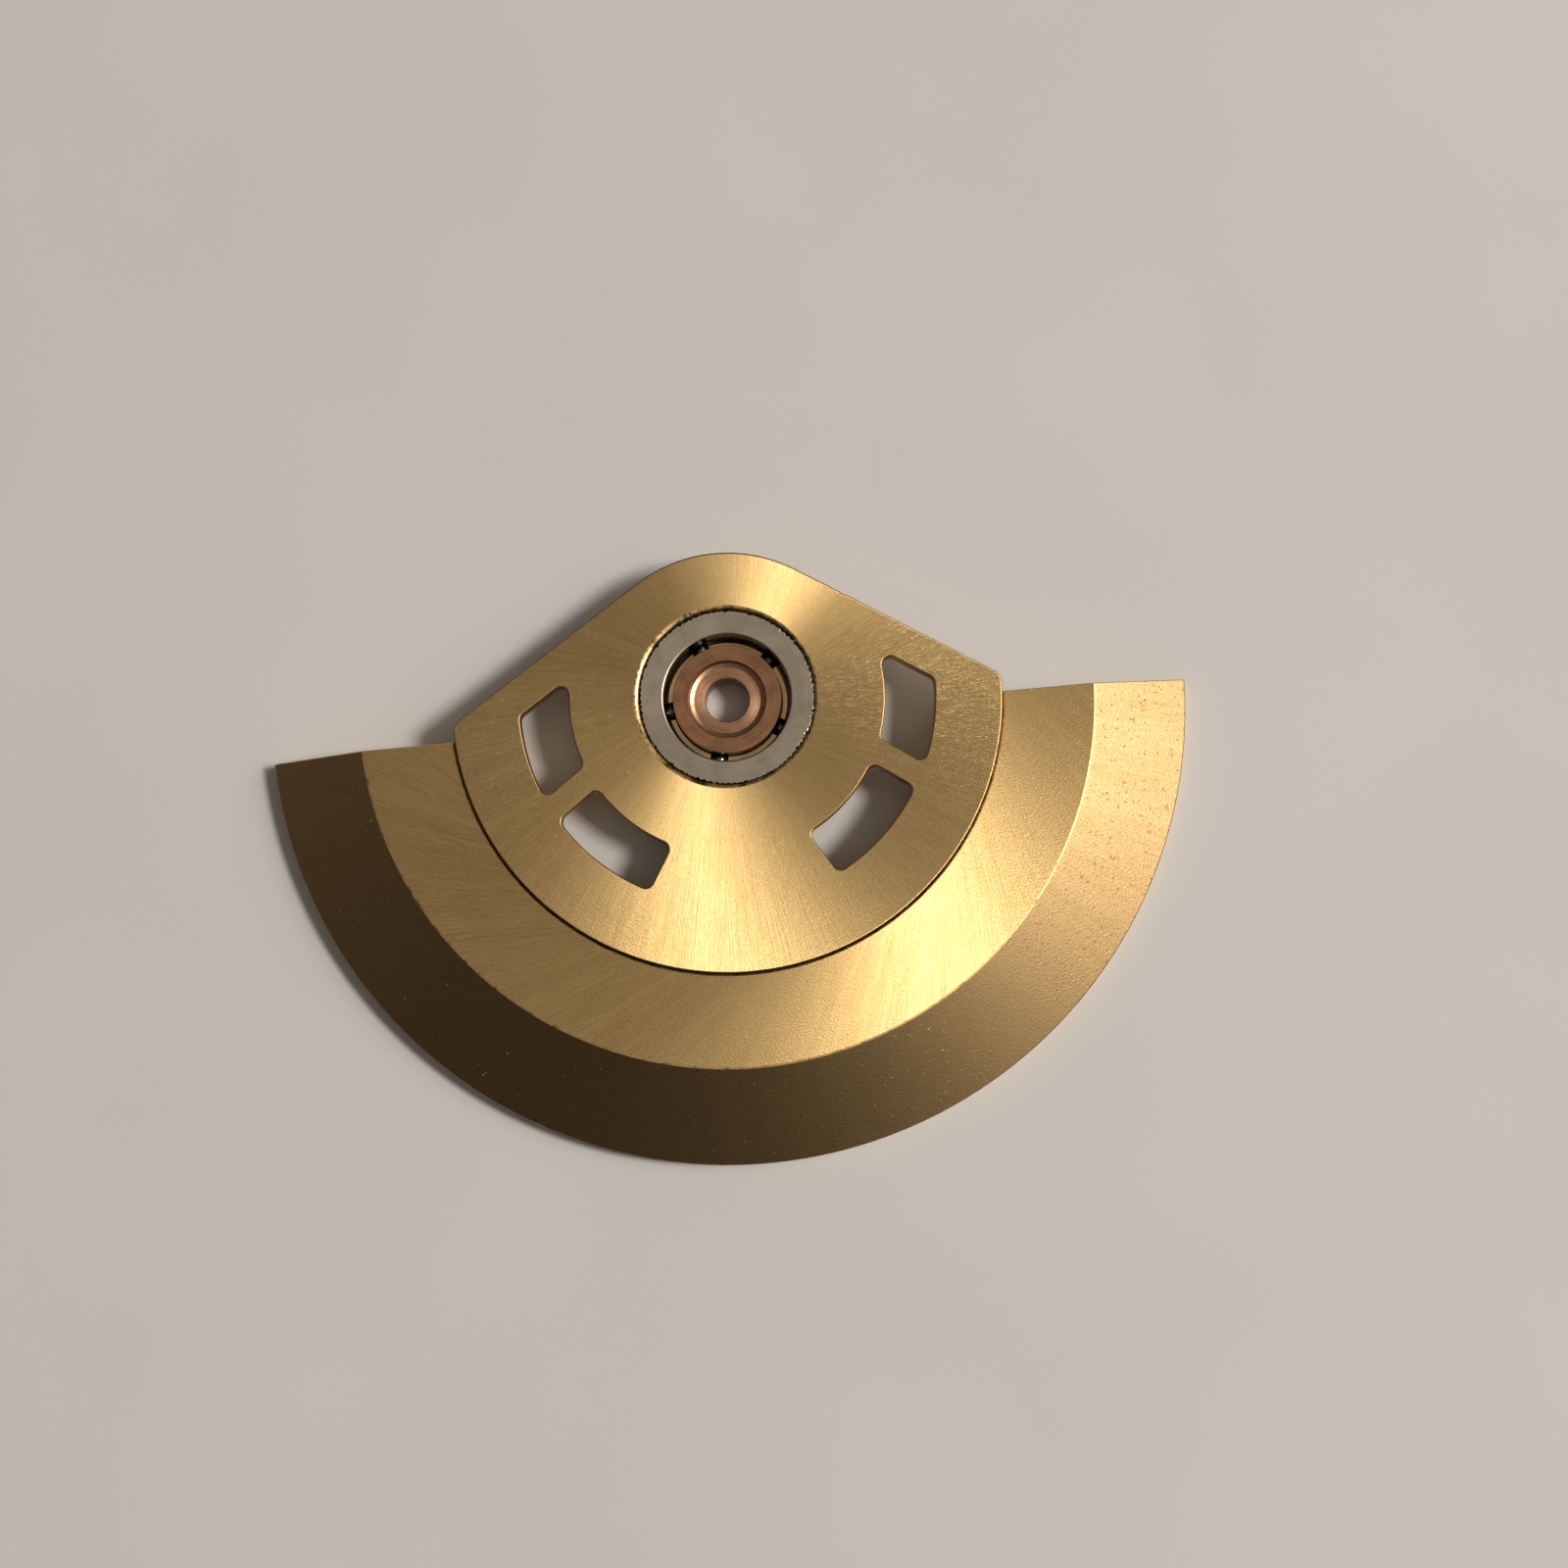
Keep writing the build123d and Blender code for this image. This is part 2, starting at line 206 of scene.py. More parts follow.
class RotorFinish(bpy.types.PropertyGroup):
    """Colours and brush marks."""

    gilt: colour("Gilt", "Colour of the gilt plate and weight", 0.85, 0.59, 0.26)
    gilt_shade: colour("Gilt shade", "Colour of the gilding's darker marks", 0.66, 0.43, 0.18)
    steel: colour("Steel", "Colour of the bearing ring", 0.385, 0.33, 0.255)
    steel_shade: colour("Steel shade", "Colour of the ring's darker marks", 0.35, 0.297, 0.225)
    copper: colour("Copper", "Colour of the hub", 0.42, 0.215, 0.12)
    copper_shade: colour("Copper shade", "Colour of the hub's turned marks", 0.30, 0.148, 0.078)
    cone: colour("Cone", "Colour of the counterbore's side", 0.60, 0.385, 0.25)
    cage: colour("Cage", "Colour of the ball cage", 0.66, 0.50, 0.30)
    # The balls are coloured dark: painted shade of the deep pockets they lie in.
    ball: colour("Ball", "Colour of the oiled balls", 0.15, 0.14, 0.13)
    plate_lean: length("Plate brush circle", "The plate's marks touch this circle", 0.4 * MM)
    land_lean: length("Land brush circle", "The land's marks touch this circle", 6.5 * MM)
    brushed: amount("Brushed", "How much the marks stretch a highlight", 0.8)
    roughness: amount("Roughness", "Roughness of the brushed gilding", 0.45)
    mark_depth: length("Mark depth", "Depth of the brush marks", 0.012 * MM)


class RotorStage(bpy.types.PropertyGroup):
    """The paper, the lamp and the camera."""

    paper: colour("Paper", "Colour of the paper", 0.695, 0.67, 0.655)
    lamp: colour("Lamp colour", "Colour of the lamp", 1.0, 0.955, 0.88)
    lamp_power: amount("Lamp power", "Power of the lamp in watts", 1.2, 100)
    lamp_size: length("Lamp size", "Diameter of the round lamp", 100 * MM)
    lamp_distance: length("Lamp distance", "Distance from the rotor to the lamp", 450 * MM)
    lamp_side: angle("Lamp side", "Direction of the lamp round the picture's middle", 0)
    lamp_height: angle("Lamp height", "Height of the lamp above the horizon", 55)
    glow: amount("Glow", "Light of the room behind the lamp", 4.1, 10)
    glow_side: angle("Glow side", "Direction of that light round the picture's middle", 9)
    glow_height: angle("Glow height", "Height of that light above the horizon", 40)
    photographer_side: angle("Photographer side", "Where the photographer's shade falls", 255)
    part_turn: angle("Part turn", "How far the part is turned in the picture", 5.38)
    camera_distance: length("Camera distance", "Camera height above the plate", 72 * MM)
    camera_right: length("Camera right", "Camera's shift to the picture's right", 2.15 * MM)
    camera_down: length("Camera down", "Camera's shift towards the picture's foot", 10.47 * MM)
    camera_tilt: angle("Camera tilt", "How far the camera leans back from straight down", 6.134)
    camera_yaw: angle("Camera yaw", "How far the camera leans to the side", 0.29)
    focal_share: amount("Focal share", "Focal length as a share of the picture's side", 1.4888, 10)


# Selecting and shaping


def leave_edit_mode():
    """Goes back to object mode, with nothing selected."""
    if bpy.context.object and bpy.context.object.mode != "OBJECT":
        bpy.ops.object.mode_set(mode="OBJECT")
    bpy.ops.object.select_all(action="DESELECT")


def start_piece(name):
    """An empty mesh at the origin, open in edit mode."""
    leave_edit_mode()
    bpy.ops.object.add(type="MESH", location=(0, 0, 0))
    piece = bpy.context.object
    piece.name = piece.data.name = name
    bpy.ops.object.mode_set(mode="EDIT")
    bpy.ops.mesh.select_mode(type="VERT")
    return piece


def only(piece):
    """Makes the piece the only one selected, in object mode."""
    leave_edit_mode()
    piece.select_set(True)
    bpy.context.view_layer.objects.active = piece


def open_whole(piece):
    """Opens the piece in edit mode, with all of it selected."""
    only(piece)
    bpy.ops.object.mode_set(mode="EDIT")
    bpy.ops.mesh.select_all(action="SELECT")


def pick(piece, kind, test):
    """Selects just those vertices, edges or faces of the open piece that pass the test."""
    bpy.ops.mesh.select_mode(type={"verts": "VERT", "edges": "EDGE", "faces": "FACE"}[kind])
    bpy.ops.mesh.select_all(action="DESELECT")
    shape = bmesh.from_edit_mesh(piece.data)
    for part in getattr(shape, kind):
        if test(part):
            part.select_set(True)
    shape.select_flush_mode()
    bmesh.update_edit_mesh(piece.data)


def out(face):
    """How far from the axis the middle of a face is."""
    return face.calc_center_median().xy.length


def level(face):
    """How high the middle of a face is."""
    return face.calc_center_median().z


def extrude(x, y, z):
    """Draws out what is selected."""
    bpy.ops.mesh.extrude_region_move(TRANSFORM_OT_translate={"value": (x, y, z)})


def stretch(x, y, z, centre=(0, 0, 0)):
    """Scales what is selected about a fixed point."""
    bpy.ops.transform.resize(value=(x, y, z), center_override=centre)


def turn_left(turn):
    """Turns what is selected about Z. With no window the operator turns the other way."""
    bpy.ops.transform.rotate(value=-turn, orient_axis="Z", center_override=(0, 0, 0))


def turn_outline(outline, segments):
    """Extrudes a circle round a closed outline of (radius, height) points."""
    radius, height = outline[0]
    bpy.ops.mesh.primitive_circle_add(vertices=segments, radius=radius, location=(0, 0, height))
    for wide, high in outline[1:] + outline[:1]:
        extrude(0, 0, high - height)
        stretch(wide / radius, wide / radius, 1, (0, 0, high))
        radius, height = wide, high
    bpy.ops.mesh.select_all(action="SELECT")
    bpy.ops.mesh.remove_doubles(threshold=1e-7)
    bpy.ops.mesh.normals_make_consistent(inside=False)


def broken(outline, width):
    """The closed outline with a small chamfer on every corner sharper than 20 degrees."""
    points = []
    for number, corner_point in enumerate(outline):
        here = Vector(corner_point)
        before = Vector(outline[number - 1]) - here
        after = Vector(outline[(number + 1) % len(outline)]) - here
        if math.pi - before.angle(after) < math.radians(20):
            points.append(tuple(here))
            continue
        for side in (before, after):
            points.append(tuple(here + side.normalized() * min(width, 0.4 * side.length)))
    return points


def cut_away(piece, cutter):
    """Cuts the cutter's shape out of the piece, and removes the cutter."""
    only(piece)
    cut = piece.modifiers.new("Cut", "BOOLEAN")
    cut.operation = "DIFFERENCE"
    cut.solver = "EXACT"
    cut.object = cutter
    bpy.ops.object.modifier_apply(modifier=cut.name)
    bpy.data.objects.remove(cutter)


def cut_screw_holes(piece, weight, radius, bottom, top):
    """Cuts an upright round hole at every screw."""
    pegs = start_piece("pegs")
    for x, y, _ in screw_places(weight):
        bpy.ops.mesh.primitive_cylinder_add(
            vertices=48, radius=radius, depth=top - bottom, location=(x, y, (top + bottom) / 2))
    cut_away(piece, pegs)


def copy_of(pattern, name):
    """A copy with a mesh of its own."""
    copy = pattern.copy()
    copy.data = pattern.data.copy()
    copy.name = name
    bpy.context.scene.collection.objects.link(copy)
    return copy


def paint(piece, material):
    """Leaves the piece with just one finish."""
    piece.data.materials.clear()
    piece.data.materials.append(material)


def coat(piece, material, test):
    """Gives the faces that pass the test a finish of their own."""
    only(piece)
    piece.data.materials.append(material)
    piece.active_material_index = len(piece.data.materials) - 1
    bpy.ops.object.mode_set(mode="EDIT")
    pick(piece, "faces", test)
    bpy.ops.object.material_slot_assign()
    bpy.ops.object.mode_set(mode="OBJECT")


def finish_piece(piece, body, node, material, smooth=6):
    """Shades the piece, gives it its finish and hangs it on its body."""
    open_whole(piece)
    bpy.ops.mesh.normals_make_consistent(inside=False)
    only(piece)
    bpy.ops.object.shade_smooth_by_angle(angle=math.radians(smooth))
    paint(piece, material)
    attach(piece, body)
    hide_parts(node)


# Finishes


class Nodes:
    """A node tree, with short ways to add to it."""

    def __init__(self, tree):
        self.tree = tree
        self.column = 0

    def add(self, kind, inputs=(), **settings):
        """A node with its settings and its inputs, each a number, a colour or a socket."""
        node = self.tree.nodes.new(kind)
        self.column += 1
        node.location = (-200 * self.column, -40 * (self.column % 7))
        for key, value in settings.items():
            setattr(node, key, value)
        for key, value in dict(inputs).items():
            self.put(node, key, value)
        return node

    def put(self, node, key, value):
        """Sets an input, or links it where the value is a socket."""
        if isinstance(value, bpy.types.NodeSocket):
            self.tree.links.new(value, node.inputs[key])
        else:
            node.inputs[key].default_value = value

    def math(self, operation, first, second=0.0):
        """One Math node's result."""
        return self.add("ShaderNodeMath", {0: first, 1: second}, operation=operation).outputs[0]

    def weigh(self, *parts):
        """The sum of values that are each multiplied by a share."""
        total, *others = [self.math("MULTIPLY", value, share) for value, share in parts]
        for other in others:
            total = self.math("ADD", total, other)
        return total

    def join(self, x, y, z):
        """Three numbers as a vector."""
        return self.add("ShaderNodeCombineXYZ", {0: x, 1: y, 2: z}).outputs[0]

    def noise(self, vector, scale, detail=2.0, roughness=0.5):
        """A noise that runs from 0 to 1."""
        inputs = {"Vector": vector, "Scale": scale, "Detail": detail, "Roughness": roughness}
        return self.add("ShaderNodeTexNoise", inputs).outputs["Fac"]

    def spread(self, value, low, high, to_low=0.0, to_high=1.0):
        """Maps a range onto another, clamped."""
        inputs = {"Value": value, "From Min": low, "From Max": high, "To Min": to_low,
                  "To Max": to_high}
        node = self.add("ShaderNodeMapRange", inputs, interpolation_type="SMOOTHSTEP")
        return node.outputs[0]

    def blend(self, share, first, second):
        """A colour between two others."""
        inputs = {0: share}
        for socket, value in ((6, first), (7, second)):
            is_socket = isinstance(value, bpy.types.NodeSocket)
            inputs[socket] = value if is_socket else (*value, 1)
        return self.add("ShaderNodeMix", inputs, data_type="RGBA").outputs[2]


class Finish(Nodes):
    """A material's nodes, which read Object coordinates in millimetres."""

    def __init__(self, name):
        self.material = bpy.data.materials.new(name)
        self.material.use_nodes = True
        super().__init__(self.material.node_tree)
        self.shader = self.tree.nodes["Principled BSDF"]
        inputs = {"Vector": self.add("ShaderNodeTexCoord").outputs["Object"],
                  "Scale": (1000, 1000, 1000)}
        self.place = self.add("ShaderNodeMapping", inputs).outputs[0]

    def axes(self):
        """x, y, z and the distance from the axis."""
        x, y, z = self.add("ShaderNodeSeparateXYZ", {0: self.place}).outputs
        return x, y, z, self.math("SQRT", self.weigh((x, x), (y, y)))

    def brush(self, x, y, amount):
        """Stretches highlights along (x, y), which lies across the marks."""
        turned = self.add("ShaderNodeVectorTransform", {0: self.join(x, y, 0.0)},
                          vector_type="VECTOR", convert_from="OBJECT", convert_to="WORLD")
        tangent = self.add("ShaderNodeVectorMath", {0: turned.outputs[0]}, operation="NORMALIZE")
        self.put(self.shader, "Tangent", tangent.outputs[0])
        self.put(self.shader, "Anisotropic", amount)

    def surface(self, colour, roughness, marks, strength, depth, metallic=1.0):
        """Sets the shader, with the marks as bumps, and gives the material."""
        bump = self.add("ShaderNodeBump",
                        {"Height": marks, "Strength": strength, "Distance": depth})
        inputs = {"Base Color": colour, "Roughness": roughness, "Metallic": metallic,
                  "Normal": bump.outputs[0]}
        for key, value in inputs.items():
            self.put(self.shader, key, value)
        return self.material


def tinted(colour, tint):
    """The colour multiplied by a tint, which is one number or one for each channel."""
    tint = (tint,) * 3 if isinstance(tint, float) else tint
    return tuple(share * part for share, part in zip(tint, colour))


def brush_marks(nodes, x, y, radius, lean, spiral):
    """The heading of straight marks that touch a circle, and a vector to make them from.

    All points of one mark share its heading, so the marks are a noise of it.
    """
    share = nodes.math("MINIMUM", nodes.math("DIVIDE", lean / MM, radius), 0.999)
    lead = nodes.math("MULTIPLY", nodes.math("ARCSINE", share), spiral)
    heading = nodes.math("ADD", nodes.math("ARCTAN2", y, x), lead)
    along_x, along_y = nodes.math("COSINE", heading), nodes.math("SINE", heading)
    reach = nodes.math("MULTIPLY", radius, nodes.math("COSINE", lead))
    pattern = nodes.join(nodes.math("MULTIPLY", along_x, MARKS_ROUND),
                         nodes.math("MULTIPLY", along_y, MARKS_ROUND),
                         nodes.math("MULTIPLY", reach, MARKS_ALONG))
    return along_x, along_y, pattern


def gilt_finish(name, finish, lean, spiral, middle, rough=0.0, brushed=0.0, contrast=1.0,
                nicks=0.3, shine=1.0, clean=0.74, handled=0.0, grain=0.25):
    """Gilding with brush marks and specks, of which handling leaves fewer on the left.

    The marks touch a circle of radius lean, to one side or the other as spiral is 1 or -1,
    and have their full depth at middle millimetres from the axis.
    """
    nodes = Finish(name)
    x, y, _, radius = nodes.axes()
    along_x, along_y, pattern = brush_marks(nodes, x, y, radius, lean, spiral)
    nodes.brush(nodes.math("MULTIPLY", along_y, -1.0), along_x, finish.brushed + brushed)
    fine = nodes.noise(pattern, 24.0, detail=3.0, roughness=0.7)
    broad = nodes.noise(pattern, 2.2, detail=3.0, roughness=0.6)
    grit = nodes.noise(nodes.place, 16.0, detail=3.0, roughness=0.65)
    clouds = nodes.noise(nodes.place, 0.35, detail=3.0)
    grains = nodes.noise(nodes.place, 7.0, detail=2.0, roughness=0.6)
    rubbed = nodes.spread(x, -2.0, 9.0, handled, 0.0)
    specks = nodes.spread(nodes.math("SUBTRACT", grains, rubbed), clean, clean + 0.05)
    tone = nodes.weigh((fine, 0.82 - grain), (broad, 0.18), (grit, grain))
    bright, dark = tinted(finish.gilt, shine), tinted(finish.gilt_shade, shine)
    gilt = nodes.blend(nodes.spread(tone, 0.36, 0.6, 1 - contrast, 1.0), dark, bright)
    worn = nodes.blend(nodes.spread(clouds, 0.35, 0.7, 0.0, 0.35), gilt, bright)
    base, swing = finish.roughness + rough, 0.04 * contrast
    streaked = nodes.spread(tone, 0.35, 0.65, base + swing, base - swing)
    pitted = nodes.math("ADD", streaked, nodes.math("MULTIPLY", specks, 0.1))
    marks = nodes.math("SUBTRACT", tone, nodes.math("MULTIPLY", specks, nicks))
    # The marks fan out, so their depth grows outwards and their slope stays the same
    depth = nodes.math("MULTIPLY", radius, contrast * finish.mark_depth / middle)
    return nodes.surface(worn, pitted, marks, 1.0, depth)


def edge_finish(name, finish, shine, roughness, worn=0.35):
    """Duller gilding on broken edges and in seams, with darker stains from handling; a shine below
    1 dims all of it, which is painted shade.
    """
    nodes = Finish(name)
    stain = nodes.noise(nodes.place, 4.0, detail=4.0, roughness=0.7)
    clean = tinted(finish.gilt_shade, shine)
    colour = nodes.blend(nodes.spread(stain, worn, worn + 0.2), tinted(clean, 0.3), clean)
    rough = nodes.spread(stain, 0.3, 0.7, roughness - 0.06, roughness + 0.06)
    return nodes.surface(colour, rough, stain, 0.6, 0.01 * MM)


def turned_finish(name, bright, dark, roughness, brushed=0.0, density=16.0, depth=0.003):
    """Metal with the fine rings that a lathe leaves."""
    nodes = Finish(name)
    x, y, z, radius = nodes.axes()
    nodes.brush(x, y, brushed)
    rings = nodes.join(nodes.math("MULTIPLY", radius, density), nodes.math("MULTIPLY", x, 0.5),
                       nodes.weigh((y, 0.5), (z, density)))
    lines = nodes.noise(rings, 1.0, detail=3.0, roughness=0.6)
    stains = nodes.noise(nodes.place, 1.4, detail=4.0, roughness=0.6)
    tone = nodes.weigh((lines, 0.6), (stains, 0.4))
    colour = nodes.blend(nodes.spread(tone, 0.35, 0.65), dark, bright)
    rough = nodes.spread(stains, 0.3, 0.7, roughness - 0.04, roughness + 0.06)
    return nodes.surface(colour, rough, lines, 0.5, depth * MM)


def shadowed_finish(name):
    """Dark mottled steel: painted shade for the faces deep inside the bearing."""
    nodes = Finish(name)
    film = nodes.noise(nodes.place, 3.0, detail=3.0)
    colour = nodes.blend(nodes.spread(film, 0.3, 0.7), BEARING_SHADE_DARK, BEARING_SHADE_PALE)
    return nodes.surface(colour, nodes.spread(film, 0.3, 0.7, 0.2, 0.32), film, 0.3, 0.003 * MM)


def polished_finish(name, bright, dark, roughness):
    """Polished metal with faint handling marks."""
    nodes = Finish(name)
    haze = nodes.noise(nodes.place, 6.0, detail=4.0, roughness=0.6)
    colour = nodes.blend(nodes.spread(haze, 0.35, 0.7), bright, dark)
    rough = nodes.spread(haze, 0.3, 0.7, roughness, roughness + 0.08)
    return nodes.surface(colour, rough, haze, 0.3, 0.001 * MM)


def paper_finish(stage):
    """Off-white paper with a faint tooth."""
    nodes = Finish("paper_white")
    tooth = nodes.noise(nodes.place, 3.0, detail=4.0, roughness=0.6)
    cloud = nodes.noise(nodes.place, 0.08)
    colour = nodes.blend(nodes.spread(cloud, 0.3, 0.7), tinted(stage.paper, 0.97), stage.paper)
    nodes.put(nodes.shader, "Specular IOR Level", 0.2)
    return nodes.surface(colour, 0.9, tooth, 0.2, 0.02 * MM, metallic=0.0)


# Outlines


def edge_turn(slope, offset, radius):
    """The angle about Z where a straight edge on the +X side meets a circle."""
    return math.pi / 2 - slope - math.acos(offset / radius)


def on_circle(radius, turn):
    """A point on a circle about Z."""
    return radius * math.cos(turn), radius * math.sin(turn)


def drop_point(point, height):
    """Adds one vertex to the open piece."""
    bpy.ops.mesh.primitive_plane_add(size=MM, location=(*point, height))
    bpy.ops.mesh.merge(type="CENTER")


def selected_point(piece):
    """Where the selected vertex is."""
    shape = bmesh.from_edit_mesh(piece.data)
    return next(point for point in shape.verts if point.select).co.copy()


def line_to(piece, end):
    """Draws a straight edge from the selected vertex."""
    here = selected_point(piece)
    extrude(end[0] - here.x, end[1] - here.y, 0)


def arc_to(piece, centre, end, steps):
    """Draws an arc from the selected vertex, the short way round a centre."""
    here = selected_point(piece)
    first = math.atan2(here.y - centre[1], here.x - centre[0])
    last = math.atan2(end[1] - centre[1], end[0] - centre[0])
    turn = math.remainder(last - first, WHOLE_TURN)
    bpy.ops.mesh.spin(steps=steps, angle=-turn, center=(*centre, 0), axis=(0, 0, 1))


def corner(edge, edge_side, radius, arc_side, rounding):
    """A rounded corner's centre, and where it meets the straight edge and the arc.

    The sides are 1 where the metal or the opening lies beyond the edge or arc, else -1.
    """
    slope, offset = edge
    reach = radius + arc_side * rounding
    turn = edge_turn(slope, offset + edge_side * rounding, reach)
    x, y = on_circle(reach, turn)
    off_x, off_y = on_circle(rounding, math.pi / 2 - slope)
    return (x, y), (x - edge_side * off_x, y - edge_side * off_y), on_circle(radius, turn)


def mirrored(point):
    """The point on the other side of the part's middle."""
    return -point[0], point[1]


def flank_normal(sizes):
    """The direction that the right flank faces."""
    return Vector(on_circle(1, math.pi / 2 - sizes.flank))


def draw_fan(sizes):
    """The plate's outline: a round top, two tangent flanks and an arc."""
    piece = start_piece("rotor_plate_gilt")
    edge = (sizes.flank, sizes.round_radius)
    centre, on_flank, on_arc = corner(edge, -1, sizes.arc_radius, -1, sizes.corner_radius)
    shoulder = on_circle(sizes.round_radius, math.pi / 2 - sizes.flank)
    drop_point(shoulder, sizes.bottom)
    arc_to(piece, AXIS, mirrored(shoulder), 60)
    line_to(piece, mirrored(on_flank))
    arc_to(piece, mirrored(centre), mirrored(on_arc), 10)
    arc_to(piece, AXIS, (0, -sizes.arc_radius), 200)
    arc_to(piece, AXIS, on_arc, 200)
    arc_to(piece, centre, on_flank, 10)
    line_to(piece, shoulder)
    return piece


def draw_window(sizes, upper, lower):
    """One window's rounded outline, and its mirror image."""
    inner, outer, rounding = sizes.window_inner, sizes.window_outer, sizes.window_corner
    start = corner(upper, -1, inner, 1, rounding)
    halves = (
        (24, corner(lower, 1, inner, 1, rounding), corner(lower, 1, outer, -1, rounding)),
        (32, corner(upper, -1, outer, -1, rounding), start),
    )
    pane = start_piece("window")
    drop_point(start[2], sizes.bottom)
    for steps, (centre, on_edge, on_arc), (far_centre, far_edge, far_arc) in halves:
        arc_to(pane, AXIS, on_arc, steps)
        arc_to(pane, centre, on_edge, 8)
        line_to(pane, far_edge)
        arc_to(pane, far_centre, far_arc, 8)
    bpy.ops.mesh.select_all(action="SELECT")
    bpy.ops.mesh.duplicate()
    stretch(-1, 1, 1)
    return pane


def groove_arc(sizes, start, end, steps=10):
    """(radius, height) points of the ball groove's section, between two angles."""
    turns = [start + (end - start) * step / steps for step in range(steps + 1)]
    places = [on_circle(sizes.groove_radius, turn) for turn in turns]
    return [(sizes.pitch_radius + out, BALL_HEIGHT + up) for out, up in places]


def groove_end(sizes, radius):
    """The angle at which the ball groove's section meets an upright face."""
    return math.acos((radius - sizes.pitch_radius) / sizes.groove_radius)


def round_over(width, step):
    """How far in and up an edge's rounding has come after a step."""
    turn = math.pi / 2 * step / ROUND_STEPS
    return width * (1 - math.cos(turn)), width * math.sin(turn)


def screw_places(sizes):
    """Where the screws stand, spread evenly about the weight's middle."""
    first = -math.pi / 2 - sizes.screw_spread / 2
    step = sizes.screw_spread / (SCREW_COUNT - 1)
    turns = [first + number * step for number in range(SCREW_COUNT)]
    return [(*on_circle(sizes.screw_circle, turn), turn) for turn in turns]


# Pieces


class ROTOR_OT_plate(bpy.types.Operator):
    """Model the fan-shaped plate with its bore and windows"""

    bl_idname = "rotor.plate"
    bl_label = "Plate"

    def execute(self, context):
        sizes = context.scene.rotor_plate
        weight = context.scene.rotor_weight
        finish = context.scene.rotor_finish
        flank_edge = (sizes.flank, sizes.round_radius - sizes.shoulder)
        above = (sizes.spoke, sizes.spoke_offset + sizes.spoke_width / 2)
        below = (sizes.spoke, sizes.spoke_offset - sizes.spoke_width / 2)
        bridge = (sizes.bridge, -sizes.bridge_offset)
        panes = [draw_window(sizes, flank_edge, above), draw_window(sizes, below, bridge)]
        plate = draw_fan(sizes)
        mouth = sizes.bore_radius + sizes.bore_chamfer
        bpy.ops.mesh.primitive_circle_add(
            vertices=240, radius=mouth - sizes.edge_break, location=(0, 0, sizes.bottom))
        only(plate)
        for pane in panes:
            pane.select_set(True)
        bpy.ops.object.join()
        open_whole(plate)
        bpy.ops.mesh.remove_doubles(threshold=1e-6)
        self.roughen_flank(plate, sizes)
        bpy.ops.mesh.select_all(action="SELECT")
        bpy.ops.mesh.fill(use_beauty=True)
        wall_top = sizes.top - sizes.edge_break
        extrude(0, 0, wall_top - sizes.bottom)
        bpy.ops.mesh.select_all(action="SELECT")
        bpy.ops.mesh.normals_make_consistent(inside=False)
        self.round_edges(plate, sizes)
        self.open_bore(plate, sizes, mouth, wall_top)
        cut_screw_holes(plate, weight, weight.screw_shank + PRESS_GAP, sizes.bottom - MM,
                        sizes.top - HOLE_ROOF)
        gilt = gilt_finish("gilt_plate_brushed", finish, finish.plate_lean, 1.0, 6.5, rough=-0.03,
                           contrast=1.3, shine=0.92)
        finish_piece(plate, "rotor", "rotor_plate", gilt, smooth=35)
        # The plate's upright walls are dimmed to 0.8: painted shade along its seam and edges.
        wall = edge_finish("gilt_plate_wall", finish, 0.8, 0.4, worn=0.15)
        coat(plate, wall, lambda face: abs(face.normal.z) < 0.97)
        edge = edge_finish("gilt_plate_edge", finish, 1.0, 0.32, worn=0.5)
        coat(plate, edge, lambda face: 0.05 < face.normal.z < 0.97)
        bore = edge_finish("gilt_bore_edge", finish, 1.0, 0.3, worn=0.36)
        coat(plate, bore, lambda face: abs(face.normal.z) < 0.999 and out(face) < 1.05 * mouth)
        # The windows' walls and broken edges are dimmed to 0.6: painted shade inside the windows.
        window = edge_finish("gilt_window_edge", finish, 0.6, 0.42, worn=0.2)
        coat(plate, window, lambda face: abs(face.normal.z) < 0.999
             and self.by_window(face.calc_center_median().xy, sizes))
        return {"FINISHED"}

    def by_window(self, point, sizes):
        """Whether a point of an edge lies at a window."""
        normal = flank_normal(sizes)
        reach = normal.x * abs(point.x) + normal.y * point.y
        return (sizes.window_inner - 2 * sizes.edge_break < point.length
                < sizes.window_outer + 2 * sizes.edge_break
                and reach < sizes.round_radius - sizes.shoulder / 2)

    def roughen_flank(self, plate, sizes):
        """Leaves the right flank's edge a little ragged, as a file does."""
        pick(plate, "edges", lambda edge: edge.calc_length() > 3 * MM)
        bpy.ops.mesh.subdivide(number_cuts=70)
        normal = flank_normal(sizes)
        reach = sizes.round_radius - HAIR
        pick(plate, "verts", lambda v: v.co.xy.dot(normal) > reach and v.co.x > 3 * MM)
        bpy.ops.transform.vertex_random(offset=RAGGED, uniform=0, normal=0, seed=4)
        bpy.ops.mesh.select_all(action="SELECT")
        stretch(1, 1, 0, (0, 0, sizes.bottom))

    def round_edges(self, plate, sizes):
        """Draws the upper face in and up, a little at a time."""
        middle = (sizes.top + sizes.bottom) / 2
        pick(plate, "faces", lambda face: all(v.co.z > middle for v in face.verts))
        done_in, done_up = 0, 0
        for step in range(1, ROUND_STEPS + 1):
            inward, upward = round_over(sizes.edge_break, step)
            bpy.ops.mesh.inset(
                thickness=inward - done_in, depth=upward - done_up, use_boundary=True)
            done_in, done_up = inward, upward
        bpy.ops.mesh.inset(thickness=0.01 * MM, depth=0, use_boundary=True)

